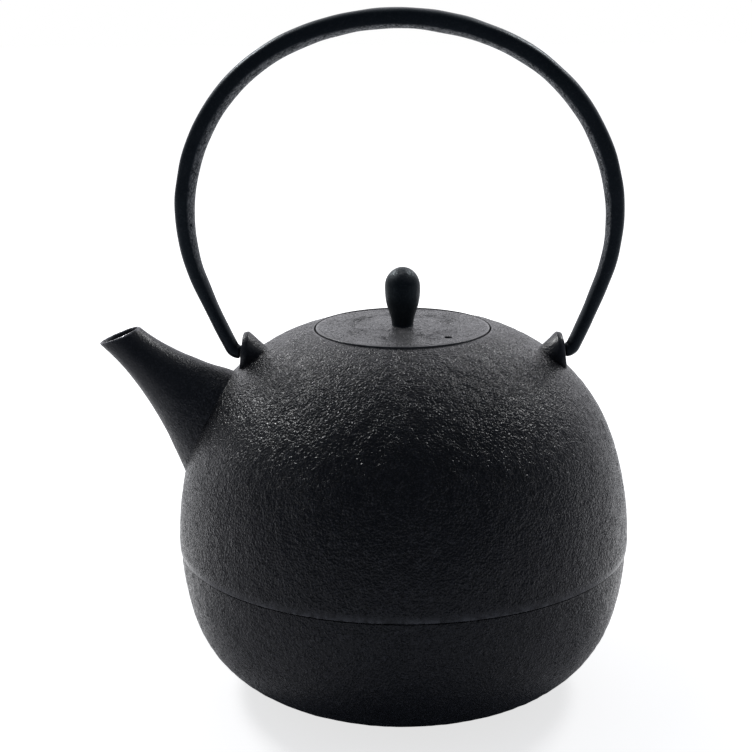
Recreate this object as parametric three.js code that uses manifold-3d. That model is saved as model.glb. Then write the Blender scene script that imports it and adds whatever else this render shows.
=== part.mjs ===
// A cast-iron kettle (tetsubin): a hollow casting with its spout and bail ears in one,
// a flush lid with a riveted knob, and a forged bail that swings on two pins.
// Millimetres, +Z up. The origin is on the kettle's axis, on the surface it stands on.
// The spout points along -X and the bail swings about an axis along X.

import * as THREE from 'three';
import { mergeVertices, toCreasedNormals } from 'three/addons/utils/BufferGeometryUtils.js';
import Module from 'manifold-3d';

const wasm = await Module();
wasm.setup();

const degrees = Math.PI / 180;

// Body casting: the outside is a chain of arcs, each tangent to the next, except at the belt.
const BODY_RADIUS = 80;
const WALL = 2.8;
const FLOOR = 3.2;
const BOWL_HEEL_RADIUS = 50;
const BOWL_HEEL_SWEEP = 24.9 * degrees;
const BOWL_TURN_RADIUS = 38.5;
const BOWL_TURN_SWEEP = 47.2 * degrees;
const BOWL_SIDE_RADIUS = 81.6;
const BOWL_SIDE_SWEEP = 17.4 * degrees;
const BELT_STEP = 0.6;
const BELT_LIP_ROUND = 0.8;
const FLANK_START = 88.9 * degrees;
const FLANK_RADIUS = 110.8;
const FLANK_SWEEP = 20 * degrees;
const SHOULDER_RADIUS = 60.7;
const SHOULDER_SWEEP = 52.7 * degrees;
const CROWN_RADIUS = 138;

// Mouth: the lid drops into a rebate and rests on a ledge with a collar below it.
const MOUTH_RADIUS = 28;
const REBATE_DEPTH = 3.1;
const LEDGE_THICKNESS = 3.2;
const COLLAR_WIDTH = 7.5;
const RIM_CHAMFER = 0.4;

// Lid
const LID_RADIUS = 30.4;
const LID_GAP = 0.45;
const LID_SEAT_GAP = 0.3;
const LID_RISE = 0.55;
const LID_EDGE_CHAMFER = 0.4;
const LID_PLATE = 2.6;
const RING_GAP = 0.6;
const RING_WALL = 2;
const RING_DEPTH = 5;
const VENT_RADIUS = 1.4;
const VENT_FROM_AXIS = 23.2;
const VENT_ANGLE = -49 * degrees;

// Knob, tang and washer
const KNOB_HEIGHT = 20.6;
const KNOB_RADIUS = 6.2;
const KNOB_HEAD_RISE = 7.1;
const KNOB_NECK_RADIUS = 3.65;
const KNOB_FOOT_ROUND = 1.2;
const TANG_RADIUS = 2.2;
const TANG_GAP = 0.3;
const STACK_GAP = 0.1;
const WASHER_RADIUS = 6;
const WASHER_THICKNESS = 1.2;
const PEEN_RADIUS = 3.9;
const PEEN_HEIGHT = 1.6;

// Spout: an oval tube between an upper and a lower edge curve, both in the XZ plane.
const LIP_TOP_REACH = 92.2;
const LIP_TOP_HEIGHT = 130.9;
const LIP_LENGTH = 15.3;
const LIP_TILT = 21.9 * degrees;
const LIP_WIDTH = 12.4;
const LIP_WALL = 1.1;
const SPOUT_WALL = 2.4;
const SPOUT_ROOT_SILL = 7;
const SPOUT_ROOT_TOP = 114.3;
const SPOUT_ROOT_BOTTOM = 78.4;
const SPOUT_ROOT_WIDTH = 30;
const SPOUT_TOP_LIP_SLOPE = 42 * degrees;
const SPOUT_TOP_ROOT_SLOPE = 19.5 * degrees;
const SPOUT_UNDER_LIP_SLOPE = 41 * degrees;
const SPOUT_UNDER_ROOT_SLOPE = 69 * degrees;

// Bail ears: horns with a round, slightly leaning outer face centred on the pin.
const EAR_FACE_REACH = 56.6;
const PIN_RISE = 5.13;
const EAR_FACE_RADIUS = 7;
const EAR_FACE_LEAN = 6.7 * degrees;
const EAR_EDGE_ROUND = 1;
const EAR_LENGTH = 13;
const EAR_TAIL_RADIUS = 2.5;
const EAR_TAIL_DROP = 5.2;

// Bail: a flat-sided bar along a chain of tangent arcs, thinner and narrower at its ends.
const PIN_RADIUS = 2.1;
const PIN_GAP = 0.3;
const PIN_LENGTH = 5.4;
const PIN_END_GAP = 0.7;
const BAIL_END_GAP = 0.3;
const BAIL_CROTCH_RADIUS = 0.4;
const BAIL_LEG_ANGLE = 64 * degrees;
const BAIL_LEG_RADIUS = 250;
const BAIL_LEG_SWEEP = 5.9 * degrees;
const BAIL_SIDE_RADIUS = 64.6;
const BAIL_SIDE_SWEEP = 84.6 * degrees;
const BAIL_LEG_THICKNESS = 4.9;
const BAIL_LEG_DEPTH = 6.4;
const BAIL_CROWN_THICKNESS = 7;
const BAIL_CROWN_DEPTH = 10;
const BAIL_SWELL_SHARE = 0.65;
const BAIL_INNER_FACE_SHARE = 0.27;
const BAIL_ROUNDNESS = 0.66;
const BAIL_CROWN_SHIFT = 1.8;

// How far cutting shapes and hidden ends run past what they meet
const SKIN_RUN = 6;
const BORE_RUN = 12;
const BORE_OVERRUN = 4;

// Faceting
const BODY_SEGMENTS = 64;
const HOLLOW_SEGMENTS = 48;
const LID_SEGMENTS = 56;
const KNOB_SEGMENTS = 28;
const ARC_STEP = 7.5 * degrees;
const INNER_ARC_STEP = 9 * degrees;
const OVAL_POINTS = 28;
const SPOUT_STATIONS = 10;
const BAIL_OUTER_STEPS = 12;
const BAIL_INNER_STEPS = 4;
const BAIL_STEP = 6 * degrees;
const HEEL_STEPS = 5;

// Points along an arc that starts at (x, y) heading a1 above +X and turns left to a2.
function arcPoints(start, radius, a1, a2, step = ARC_STEP) {
  const count = Math.max(2, Math.ceil((a2 - a1) / step));
  const points = [];
  for (let i = 1; i <= count; i += 1) {
    const a = a1 + (a2 - a1) * i / count;
    const x = start.x + radius * (Math.sin(a) - Math.sin(a1));
    const y = start.y + radius * (Math.cos(a1) - Math.cos(a));
    points.push(new THREE.Vector2(x, y));
  }
  return points;
}

// Tangent arcs one after another: each is { radius, sweep }. Returns the points after the start.
function arcChain(start, heading, arcs, step = ARC_STEP) {
  const points = [];
  let from = start;
  let angle = heading;
  for (const arc of arcs) {
    points.push(...arcPoints(from, arc.radius, angle, angle + arc.sweep, step));
    from = points.at(-1);
    angle += arc.sweep;
  }
  return points;
}

// The bowl below the belt and the shell above it, seen as half a section.
// depth is how far the outline lies inside the outer skin: 0 outside, WALL for the hollow.
function bowlArcs(depth) {
  return [
    { radius: BOWL_HEEL_RADIUS - depth, sweep: BOWL_HEEL_SWEEP },
    { radius: BOWL_TURN_RADIUS - depth, sweep: BOWL_TURN_SWEEP },
    { radius: BOWL_SIDE_RADIUS - depth, sweep: BOWL_SIDE_SWEEP },
  ];
}

function shellArcs(depth) {
  return [
    { radius: FLANK_RADIUS - depth, sweep: FLANK_SWEEP },
    { radius: SHOULDER_RADIUS - depth, sweep: SHOULDER_SWEEP },
  ];
}

// The belt's radius follows from the widest radius, and the base from the belt.
const shellBeltRadius = BODY_RADIUS - FLANK_RADIUS * (1 - Math.sin(FLANK_START));
const bowlBeltRadius = shellBeltRadius - BELT_STEP;
const bowlRun = arcChain(new THREE.Vector2(0, 0), 0, bowlArcs(0)).at(-1);
const baseRadius = bowlBeltRadius - bowlRun.x;
const beltHeight = bowlRun.y;
const shellWidestHeight = beltHeight + FLANK_RADIUS * Math.cos(FLANK_START);

// Where the crown arc starts and where the rebate cuts it: that circle is the rim.
const shoulderEnd = arcChain(new THREE.Vector2(shellBeltRadius, beltHeight), FLANK_START, shellArcs(0)).at(-1);
const crownHeading = FLANK_START + FLANK_SWEEP + SHOULDER_SWEEP;
const rebateRadius = LID_RADIUS + LID_GAP;

const rimSine = Math.sin(crownHeading) + (rebateRadius - shoulderEnd.x) / CROWN_RADIUS;
const rimHeading = Math.PI - Math.asin(rimSine);
const rimHeight = shoulderEnd.y + CROWN_RADIUS * (Math.cos(crownHeading) - Math.cos(rimHeading));
const ledgeHeight = rimHeight - REBATE_DEPTH;

function outerProfile() {
  const base = new THREE.Vector2(baseRadius, 0);
  const bowl = arcChain(base, 0, bowlArcs(0));
  const lip = new THREE.Vector2(shellBeltRadius - BELT_LIP_ROUND, beltHeight);
  const belt = arcPoints(lip, BELT_LIP_ROUND, 0, FLANK_START, 45 * degrees);
  const shell = arcChain(belt.at(-1), FLANK_START, shellArcs(0));
  const crown = arcPoints(shell.at(-1), CROWN_RADIUS, crownHeading, rimHeading);
  const axis = new THREE.Vector2(0, 0);
  const top = new THREE.Vector2(0, crown.at(-1).y);
  return [axis, base, ...bowl, lip, ...belt, ...shell, ...crown, top];
}

// The hollow, with the mouth, the ledge and the lid's rebate above it.
function cavityProfile() {
  const collarRadius = MOUTH_RADIUS + COLLAR_WIDTH;
  const collarBottom = ledgeHeight - LEDGE_THICKNESS;
  const floor = new THREE.Vector2(baseRadius, FLOOR);
  const bowl = arcChain(floor, 0, bowlArcs(FLOOR), INNER_ARC_STEP);
  const shellStart = new THREE.Vector2(
    shellBeltRadius - WALL * Math.sin(FLANK_START),
    beltHeight + BELT_LIP_ROUND + WALL * Math.cos(FLANK_START),
  );
  const shell = arcChain(shellStart, FLANK_START, shellArcs(WALL), INNER_ARC_STEP);
  const above = rimHeight + 10;
  const kept = shell.filter((point) => point.x > collarRadius + 1);
  return [
    new THREE.Vector2(0, FLOOR),
    floor,
    ...bowl,
    shellStart,
    ...kept,
    new THREE.Vector2(collarRadius, collarBottom + 1),
    new THREE.Vector2(collarRadius - 1, collarBottom),
    new THREE.Vector2(MOUTH_RADIUS + 0.5, collarBottom),
    new THREE.Vector2(MOUTH_RADIUS, collarBottom + 0.5),
    new THREE.Vector2(MOUTH_RADIUS, ledgeHeight),
    new THREE.Vector2(rebateRadius, ledgeHeight),
    new THREE.Vector2(rebateRadius, rimHeight - RIM_CHAMFER),
    new THREE.Vector2(rebateRadius + RIM_CHAMFER, rimHeight),
    new THREE.Vector2(rebateRadius + RIM_CHAMFER, above),
    new THREE.Vector2(0, above),
  ];
}

// The outer skin's radius at a height, anywhere on the shell above the belt.
function skinRadiusAt(height) {
  const points = outerProfile().filter((point) => point.x > rebateRadius);
  const upper = points.findIndex((point) => point.y > height);
  return between(points[upper - 1], points[upper], 'y', height).x;
}

// The outer skin's height at a distance from the axis, on the shoulder or the crown.
function skinHeightAt(radius) {
  const points = outerProfile().filter((point) => point.y > beltHeight + BELT_LIP_ROUND);
  const inner = points.findIndex((point) => point.y > shellWidestHeight && point.x < radius);
  return between(points[inner - 1], points[inner], 'x', radius).y;
}

// The point between two others where one coordinate has a value.
function between(from, to, coordinate, value) {
  const share = (value - from[coordinate]) / (to[coordinate] - from[coordinate]);
  return from.clone().lerp(to, share);
}

// Turns a closed geometry into a solid: shared corners merged, flat slivers at poles dropped.
function toSolid(geometry) {
  const bare = geometry.clone();
  bare.deleteAttribute('normal');
  bare.deleteAttribute('uv');
  const merged = mergeVertices(bare, 1e-5);
  const index = merged.index.array;
  const triangles = [];
  for (let i = 0; i < index.length; i += 3) {
    const [a, b, c] = [index[i], index[i + 1], index[i + 2]];
    if (a !== b && b !== c && c !== a) {
      triangles.push(a, b, c);
    }
  }
  return new wasm.Manifold(new wasm.Mesh({
    numProp: 3,
    vertProperties: new Float32Array(merged.attributes.position.array),
    triVerts: new Uint32Array(triangles),
  }));
}

// A solid of revolution about +Z from (radius, height) points that run up the outside.
function revolve(points, segments) {
  const geometry = new THREE.LatheGeometry(points, segments);
  geometry.rotateX(Math.PI / 2);
  return toSolid(geometry);
}

// A solid through closed rings of points, all with the same count, capped flat at both ends.
// Each ring runs anticlockwise seen from ahead of it, looking back along the loft.
function loft(rings) {
  const count = rings[0].length;
  const positions = [];
  const index = [];
  for (const ring of rings) {
    for (const point of ring) {
      positions.push(point.x, point.y, point.z);
    }
  }
  for (let r = 0; r + 1 < rings.length; r += 1) {
    for (let i = 0; i < count; i += 1) {
      const a = r * count + i;
      const b = r * count + (i + 1) % count;
      index.push(a, b, b + count, a, b + count, a + count);
    }
  }
  const last = (rings.length - 1) * count;
  for (let i = 1; i + 1 < count; i += 1) {
    index.push(0, i + 1, i);
    index.push(last, last + i, last + i + 1);
  }
  const geometry = new THREE.BufferGeometry();
  geometry.setAttribute('position', new THREE.Float32BufferAttribute(positions, 3));
  geometry.setIndex(index);
  return toSolid(geometry);
}

// A slanting cut can leave a loose shaving between two facets: only the casting is kept.
function largestOf(solid) {
  return solid.decompose().reduce((best, part) => (part.volume() > best.volume() ? part : best));
}

function cylinderAlongX(radius, x1, x2, height, segments) {
  const geometry = new THREE.CylinderGeometry(radius, radius, Math.abs(x2 - x1), segments);
  geometry.rotateZ(Math.PI / 2);
  geometry.translate((x1 + x2) / 2, 0, height);
  return toSolid(geometry);
}

function cylinderAlongZ(radius, z1, z2, x, y, segments) {
  const geometry = new THREE.CylinderGeometry(radius, radius, z2 - z1, segments);
  geometry.rotateX(Math.PI / 2);
  geometry.translate(x, y, (z1 + z2) / 2);
  return toSolid(geometry);
}

// Spout

// A slope below the horizontal, pointing from the lip towards the body.
function slopeDown(angle) {
  return new THREE.Vector2(Math.cos(angle), -Math.sin(angle));
}

// A curve with a given slope at each end, its handles a third of the chord long.
function edgeCurve(start, startSlope, end, endSlope) {
  const handle = start.distanceTo(end) / 3;
  return new THREE.CubicBezierCurve(
    start,
    start.clone().addScaledVector(slopeDown(startSlope), handle),
    end.clone().addScaledVector(slopeDown(endSlope), -handle),
    end,
  );
}

const lipTop = new THREE.Vector2(-LIP_TOP_REACH, LIP_TOP_HEIGHT);
const lipBottom = new THREE.Vector2(
  -LIP_TOP_REACH - LIP_LENGTH * Math.cos(LIP_TILT),
  LIP_TOP_HEIGHT - LIP_LENGTH * Math.sin(LIP_TILT),
);
const spoutTop = edgeCurve(
  lipTop,
  SPOUT_TOP_LIP_SLOPE,
  new THREE.Vector2(-skinRadiusAt(SPOUT_ROOT_TOP), SPOUT_ROOT_TOP),
  SPOUT_TOP_ROOT_SLOPE,
);
const spoutUnder = edgeCurve(
  lipBottom,
  SPOUT_UNDER_LIP_SLOPE,
  new THREE.Vector2(-skinRadiusAt(SPOUT_ROOT_BOTTOM), SPOUT_ROOT_BOTTOM),
  SPOUT_UNDER_ROOT_SLOPE,
);

// One oval ring of the spout between its two edges, drawn in by the wall on every side
// and by the sill as well at its foot.
function spoutRing(top, under, width, wall, sill) {
  const along = top.clone().sub(under).normalize();
  const head = top.clone().addScaledVector(along, -wall);
  const foot = under.clone().addScaledVector(along, wall + sill);
  const middle = head.clone().add(foot).multiplyScalar(0.5);
  const half = head.clone().sub(foot).multiplyScalar(0.5);
  const ring = [];
  for (let i = 0; i < OVAL_POINTS; i += 1) {
    const a = 2 * Math.PI * i / OVAL_POINTS;
    ring.push(new THREE.Vector3(
      middle.x + half.x * Math.cos(a),
      -(width / 2 - wall) * Math.sin(a),
      middle.y + half.y * Math.cos(a),
    ));
  }
  return ring;
}

function spoutWidthAt(t) {
  return LIP_WIDTH + (SPOUT_ROOT_WIDTH - LIP_WIDTH) * t ** 1.3;
}

// The spout's skin, run on into the wall of the body.
function spoutSkin() {
  const rings = [];
  for (let i = 0; i <= SPOUT_STATIONS; i += 1) {
    const t = i / SPOUT_STATIONS;
    rings.push(spoutRing(spoutTop.getPoint(t), spoutUnder.getPoint(t), spoutWidthAt(t), 0, 0));
  }
  const topEnd = spoutTop.getPoint(1).addScaledVector(spoutTop.getTangent(1), SKIN_RUN);
  const underEnd = spoutUnder.getPoint(1).addScaledVector(spoutUnder.getTangent(1), SKIN_RUN);
  rings.push(spoutRing(topEnd, underEnd, SPOUT_ROOT_WIDTH, 0, 0));
  return loft(rings);
}

// The bore: it runs out past the lip and into the hollow of the body, so that it cuts clean.
// Its foot rises over a sill where it goes through the wall.
function spoutBore() {
  const out = spoutTop.getTangent(0).add(spoutUnder.getTangent(0)).normalize();
  const mouthTop = lipTop.clone().addScaledVector(out, -BORE_OVERRUN);
  const mouthBottom = lipBottom.clone().addScaledVector(out, -BORE_OVERRUN);
  const rings = [spoutRing(mouthTop, mouthBottom, LIP_WIDTH, LIP_WALL, 0)];
  for (let i = 0; i <= SPOUT_STATIONS; i += 1) {
    const t = i / SPOUT_STATIONS;
    const wall = LIP_WALL + (SPOUT_WALL - LIP_WALL) * Math.min(1, 3 * t);
    const sill = SPOUT_ROOT_SILL * t ** 2;
    rings.push(spoutRing(spoutTop.getPoint(t), spoutUnder.getPoint(t), spoutWidthAt(t), wall, sill));
  }
  const topEnd = spoutTop.getPoint(1);
  const underEnd = spoutUnder.getPoint(1);
  topEnd.x += BORE_RUN;
  underEnd.x += BORE_RUN;
  rings.push(spoutRing(topEnd, underEnd, SPOUT_ROOT_WIDTH, SPOUT_WALL, SPOUT_ROOT_SILL));
  return loft(rings);
}

// Ears: side is +1 for the ear on +X and -1 for the one beside the spout.

const pinHeight = skinHeightAt(EAR_FACE_REACH) + PIN_RISE;

function earFaceReachAt(height) {
  return EAR_FACE_REACH - (height - pinHeight) * Math.tan(EAR_FACE_LEAN);
}

function earRing(reach, height, radius, lean, side) {
  const ring = [];
  for (let i = 0; i < OVAL_POINTS; i += 1) {
    const a = -side * 2 * Math.PI * i / OVAL_POINTS;
    const up = radius * Math.cos(a);
    ring.push(new THREE.Vector3(
      side * (reach - up * Math.tan(lean)),
      radius * Math.sin(a),
      height + up,
    ));
  }
  return ring;
}

function ear(side) {
  const round = EAR_EDGE_ROUND;
  const halfway = round * (1 - Math.SQRT1_2);
  return loft([
    earRing(EAR_FACE_REACH - EAR_LENGTH, pinHeight - EAR_TAIL_DROP, EAR_TAIL_RADIUS, 0, side),
    earRing(EAR_FACE_REACH - 2 * round, pinHeight, EAR_FACE_RADIUS, EAR_FACE_LEAN, side),
    earRing(EAR_FACE_REACH - round, pinHeight, EAR_FACE_RADIUS - halfway / 2, EAR_FACE_LEAN, side),
    earRing(EAR_FACE_REACH - halfway, pinHeight, EAR_FACE_RADIUS - halfway, EAR_FACE_LEAN, side),
    earRing(EAR_FACE_REACH, pinHeight, EAR_FACE_RADIUS - round, EAR_FACE_LEAN, side),
  ]);
}

// The bar's section, as points with u outwards from the arch and v along Y. Its sides are
// nearly flat with rounded outer corners, and the face inside the arch is a low curve that
// meets the sides at an edge.
function bailSection(thickness, depth) {
  const edgeU = 0.5 - BAIL_INNER_FACE_SHARE;
  const edgeAngle = Math.PI - Math.acos((2 * edgeU) ** (1 / BAIL_ROUNDNESS));
  const rounded = (value) => Math.sign(value) * Math.abs(value) ** BAIL_ROUNDNESS;
  const points = [];
  for (let i = 0; i <= BAIL_OUTER_STEPS; i += 1) {
    const a = edgeAngle * (2 * i / BAIL_OUTER_STEPS - 1);
    points.push({ u: rounded(Math.cos(a)) * thickness / 2, v: rounded(Math.sin(a)) * depth / 2 });
  }
  const edge = points.at(-1);
  for (let i = 1; i < BAIL_INNER_STEPS; i += 1) {
    const across = 1 - 2 * i / BAIL_INNER_STEPS;
    const rise = BAIL_INNER_FACE_SHARE * thickness * (1 - across ** 2);
    points.push({ u: edge.u - rise, v: edge.v * across });
  }
  return points;
}

// The end face clears the leaning ear at every angle: the farthest corner of the end face
// comes round to the lowest, widest part of the ear's face that it can reach.
const heelSection = bailSection(BAIL_LEG_THICKNESS, BAIL_LEG_DEPTH);
const heelReach = Math.max(...heelSection.map(({ u, v }) => Math.hypot(u, v)));
const bailEndReach = earFaceReachAt(pinHeight - heelReach) + BAIL_END_GAP;
const pinTipReach = bailEndReach - PIN_LENGTH;

function pinHole(side) {
  const bottom = pinTipReach - PIN_END_GAP;
  return cylinderAlongX(PIN_RADIUS + PIN_GAP, side * bottom, side * (EAR_FACE_REACH + 8), pinHeight, 20);
}

function kettleBody() {
  let casting = revolve(outerProfile(), BODY_SEGMENTS);
  casting = casting.add(spoutSkin());
  casting = casting.add(ear(1)).add(ear(-1));
  casting = casting.subtract(revolve(cavityProfile(), HOLLOW_SEGMENTS));
  casting = casting.subtract(spoutBore());
  casting = casting.subtract(pinHole(1)).subtract(pinHole(-1));
  return largestOf(casting);
}

// Lid

const lidUnderside = ledgeHeight + LID_SEAT_GAP;
const lidTop = rimHeight + LID_RISE;
const knobSeatRadius = KNOB_NECK_RADIUS + KNOB_FOOT_ROUND + 0.2;

function lid() {
  const ringOuter = MOUTH_RADIUS - RING_GAP;
  const ringInner = ringOuter - RING_WALL;
  const plateUnder = lidTop - LID_PLATE;
  const domeRadius = (LID_RADIUS ** 2 + LID_RISE ** 2) / (2 * LID_RISE);
  const domeHeight = (radius) => lidTop - domeRadius + Math.sqrt(domeRadius ** 2 - radius ** 2);
  const edge = LID_RADIUS - LID_EDGE_CHAMFER;
  const dome = [edge, LID_RADIUS * 0.75, LID_RADIUS * 0.5, LID_RADIUS * 0.3]
    .map((radius) => new THREE.Vector2(radius, domeHeight(radius)));
  const profile = [
    new THREE.Vector2(0, plateUnder),
    new THREE.Vector2(ringInner - 1, plateUnder),
    new THREE.Vector2(ringInner, plateUnder - 1),
    new THREE.Vector2(ringInner, lidUnderside - RING_DEPTH),
    new THREE.Vector2(ringOuter - 0.6, lidUnderside - RING_DEPTH),
    new THREE.Vector2(ringOuter, lidUnderside - RING_DEPTH + 0.8),
    new THREE.Vector2(ringOuter, lidUnderside),
    new THREE.Vector2(LID_RADIUS, lidUnderside),
    new THREE.Vector2(LID_RADIUS, domeHeight(edge) - LID_EDGE_CHAMFER),
    ...dome,
    new THREE.Vector2(knobSeatRadius, lidTop),
    new THREE.Vector2(0, lidTop),
  ];
  const ventX = VENT_FROM_AXIS * Math.cos(VENT_ANGLE);
  const ventY = VENT_FROM_AXIS * Math.sin(VENT_ANGLE);
  const vent = cylinderAlongZ(VENT_RADIUS, plateUnder - 5, lidTop + 5, ventX, ventY, 16);
  const tangHole = cylinderAlongZ(TANG_RADIUS + TANG_GAP, plateUnder - 5, lidTop + 5, 0, 0, 20);
  return revolve(profile, LID_SEGMENTS).subtract(vent).subtract(tangHole);
}

const washerTop = lidTop - LID_PLATE - STACK_GAP;
const washerBottom = washerTop - WASHER_THICKNESS;
const peenTop = washerBottom - STACK_GAP;

// The knob: peened end, tang, foot fillet, neck and a pear-shaped head, in one revolve.
function lidKnob() {
  const foot = lidTop + STACK_GAP;
  const headCentre = foot + KNOB_HEIGHT - KNOB_HEAD_RISE;
  const neckTop = foot + 2 * KNOB_FOOT_ROUND;
  const peen = new THREE.EllipseCurve(0, peenTop, PEEN_RADIUS, PEEN_HEIGHT, -Math.PI / 2, 0);
  const fillet = new THREE.EllipseCurve(
    KNOB_NECK_RADIUS + KNOB_FOOT_ROUND,
    foot + KNOB_FOOT_ROUND,
    KNOB_FOOT_ROUND,
    KNOB_FOOT_ROUND,
    -Math.PI / 2,
    -Math.PI,
    true,
  );
  const flank = new THREE.CubicBezierCurve(
    new THREE.Vector2(KNOB_NECK_RADIUS, neckTop),
    new THREE.Vector2(KNOB_NECK_RADIUS, neckTop + (headCentre - neckTop) * 0.38),
    new THREE.Vector2(KNOB_RADIUS, neckTop + (headCentre - neckTop) * 0.6),
    new THREE.Vector2(KNOB_RADIUS, headCentre),
  );
  const head = new THREE.EllipseCurve(0, headCentre, KNOB_RADIUS, KNOB_HEAD_RISE, 0, Math.PI / 2);
  const profile = [
    ...peen.getPoints(3),
    new THREE.Vector2(TANG_RADIUS, peenTop),
    new THREE.Vector2(TANG_RADIUS, foot),
    ...fillet.getPoints(3),
    ...flank.getPoints(6),
    ...head.getPoints(6).slice(1),
  ];
  profile[0].x = 0;
  profile.at(-1).x = 0;
  return revolve(profile, KNOB_SEGMENTS);
}

function knobWasher() {
  const bore = TANG_RADIUS + TANG_GAP;
  const profile = [
    new THREE.Vector2(bore, washerBottom),
    new THREE.Vector2(WASHER_RADIUS - 0.3, washerBottom),
    new THREE.Vector2(WASHER_RADIUS, washerBottom + 0.3),
    new THREE.Vector2(WASHER_RADIUS, washerTop),
    new THREE.Vector2(bore, washerTop),
    new THREE.Vector2(bore, washerBottom),
  ];
  return revolve(profile, KNOB_SEGMENTS);
}

// Bail

// The right half of the bar from its end face up to the top of the arch: places on the
// centreline, each with its heading.
// The heel bends round the inside corner; the crown arc closes the arch on its own middle.
function bailHalfLine() {
  const bend = BAIL_CROTCH_RADIUS + BAIL_LEG_THICKNESS / 2;
  const line = [];
  for (let i = 0; i <= HEEL_STEPS; i += 1) {
    const angle = BAIL_LEG_ANGLE * i / HEEL_STEPS;
    line.push({
      x: bailEndReach + bend * Math.sin(angle),
      y: pinHeight + bend * (1 - Math.cos(angle)),
      angle,
    });
  }
  const addArc = (radius, from, to, step) => {
    const points = arcPoints(line.at(-1), radius, from, to, step);
    points.forEach((point, i) => {
      const angle = from + (to - from) * (i + 1) / points.length;
      line.push({ x: point.x, y: point.y, angle });
    });
  };
  const sideStart = BAIL_LEG_ANGLE + BAIL_LEG_SWEEP;
  const sideEnd = sideStart + BAIL_SIDE_SWEEP;
  addArc(BAIL_LEG_RADIUS, BAIL_LEG_ANGLE, sideStart, 2.4 * degrees);
  addArc(BAIL_SIDE_RADIUS, sideStart, sideEnd, BAIL_STEP);
  addArc(line.at(-1).x / Math.sin(sideEnd), sideEnd, Math.PI, BAIL_STEP);
  line.at(-1).x = 0;
  return line;
}

function bailRing(centre, outward, thickness, depth) {
  return bailSection(thickness, depth).map(({ u, v }) => new THREE.Vector3(
    centre.x + outward.x * u,
    v,
    centre.y + outward.y * u,
  ));
}

function bailHandle() {
  const half = bailHalfLine();
  const mirrored = half.slice(0, -1).reverse().map((place) => ({
    ...place,
    x: -place.x,
    angle: 2 * Math.PI - place.angle,
  }));
  const crownRise = half.at(-1).y - pinHeight;
  const rings = [...half, ...mirrored].map((place) => {
    const rise = Math.max(0, (place.y - pinHeight) / crownRise);
    const swell = THREE.MathUtils.smoothstep(rise, 0, BAIL_SWELL_SHARE);
    const thickness = BAIL_LEG_THICKNESS + (BAIL_CROWN_THICKNESS - BAIL_LEG_THICKNESS) * swell;
    const depth = BAIL_LEG_DEPTH + (BAIL_CROWN_DEPTH - BAIL_LEG_DEPTH) * swell;
    const outward = new THREE.Vector2(Math.sin(place.angle), -Math.cos(place.angle));
    const centre = new THREE.Vector2(place.x - BAIL_CROWN_SHIFT * rise, place.y);
    return bailRing(centre, outward, thickness, depth);
  });
  const pin = (side) => cylinderAlongX(
    PIN_RADIUS,
    side * pinTipReach,
    side * (bailEndReach + 1),
    pinHeight,
    20,
  );
  return loft(rings).add(pin(1)).add(pin(-1));
}

// Scene graph

const iron = new THREE.MeshStandardMaterial({ color: 0x1c1d1f, roughness: 0.62, metalness: 0.55 });
const lidIron = new THREE.MeshStandardMaterial({ color: 0x2b2c2e, roughness: 0.66, metalness: 0.5 });
const smoothIron = new THREE.MeshStandardMaterial({ color: 0x121315, roughness: 0.38, metalness: 0.55 });
const bailIron = new THREE.MeshStandardMaterial({ color: 0x141517, roughness: 0.34, metalness: 0.6 });
const washerIron = new THREE.MeshStandardMaterial({ color: 0x242527, roughness: 0.55, metalness: 0.6 });

function piece(name, solid, material) {
  const mesh = solid.getMesh();
  const geometry = new THREE.BufferGeometry();
  geometry.setAttribute('position', new THREE.BufferAttribute(new Float32Array(mesh.vertProperties), 3));
  geometry.setIndex(new THREE.BufferAttribute(new Uint32Array(mesh.triVerts), 1));
  const result = new THREE.Mesh(toCreasedNormals(geometry, 25 * degrees), material);
  result.name = name;
  return result;
}

const kettle = new THREE.Group();
kettle.add(piece('kettle_body', kettleBody(), iron));
kettle.add(piece('lid', lid(), lidIron));
kettle.add(piece('lid_knob', lidKnob(), smoothIron));
kettle.add(piece('knob_washer', knobWasher(), washerIron));
kettle.add(piece('bail_handle', bailHandle(), bailIron));

export default kettle;
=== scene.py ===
import math

import bmesh
import bpy
import numpy as np
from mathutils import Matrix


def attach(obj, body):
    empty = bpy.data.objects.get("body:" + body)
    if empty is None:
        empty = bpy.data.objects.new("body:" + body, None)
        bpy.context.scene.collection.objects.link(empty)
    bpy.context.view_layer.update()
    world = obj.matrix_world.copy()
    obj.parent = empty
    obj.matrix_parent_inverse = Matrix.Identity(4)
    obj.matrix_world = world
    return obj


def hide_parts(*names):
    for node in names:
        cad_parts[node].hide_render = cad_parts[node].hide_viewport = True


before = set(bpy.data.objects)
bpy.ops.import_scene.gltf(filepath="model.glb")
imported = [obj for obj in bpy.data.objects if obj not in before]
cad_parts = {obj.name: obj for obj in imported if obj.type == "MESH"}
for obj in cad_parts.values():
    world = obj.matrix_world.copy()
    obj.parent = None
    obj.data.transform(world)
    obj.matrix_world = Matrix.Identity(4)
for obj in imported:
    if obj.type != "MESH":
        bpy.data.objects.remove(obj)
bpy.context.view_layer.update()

# A cast-iron kettle with a flush lid, a short spout and a bail that swings on two pins.
# Shapes are worked out in millimetres and become metres when a mesh is made.

MM = 0.001

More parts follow.
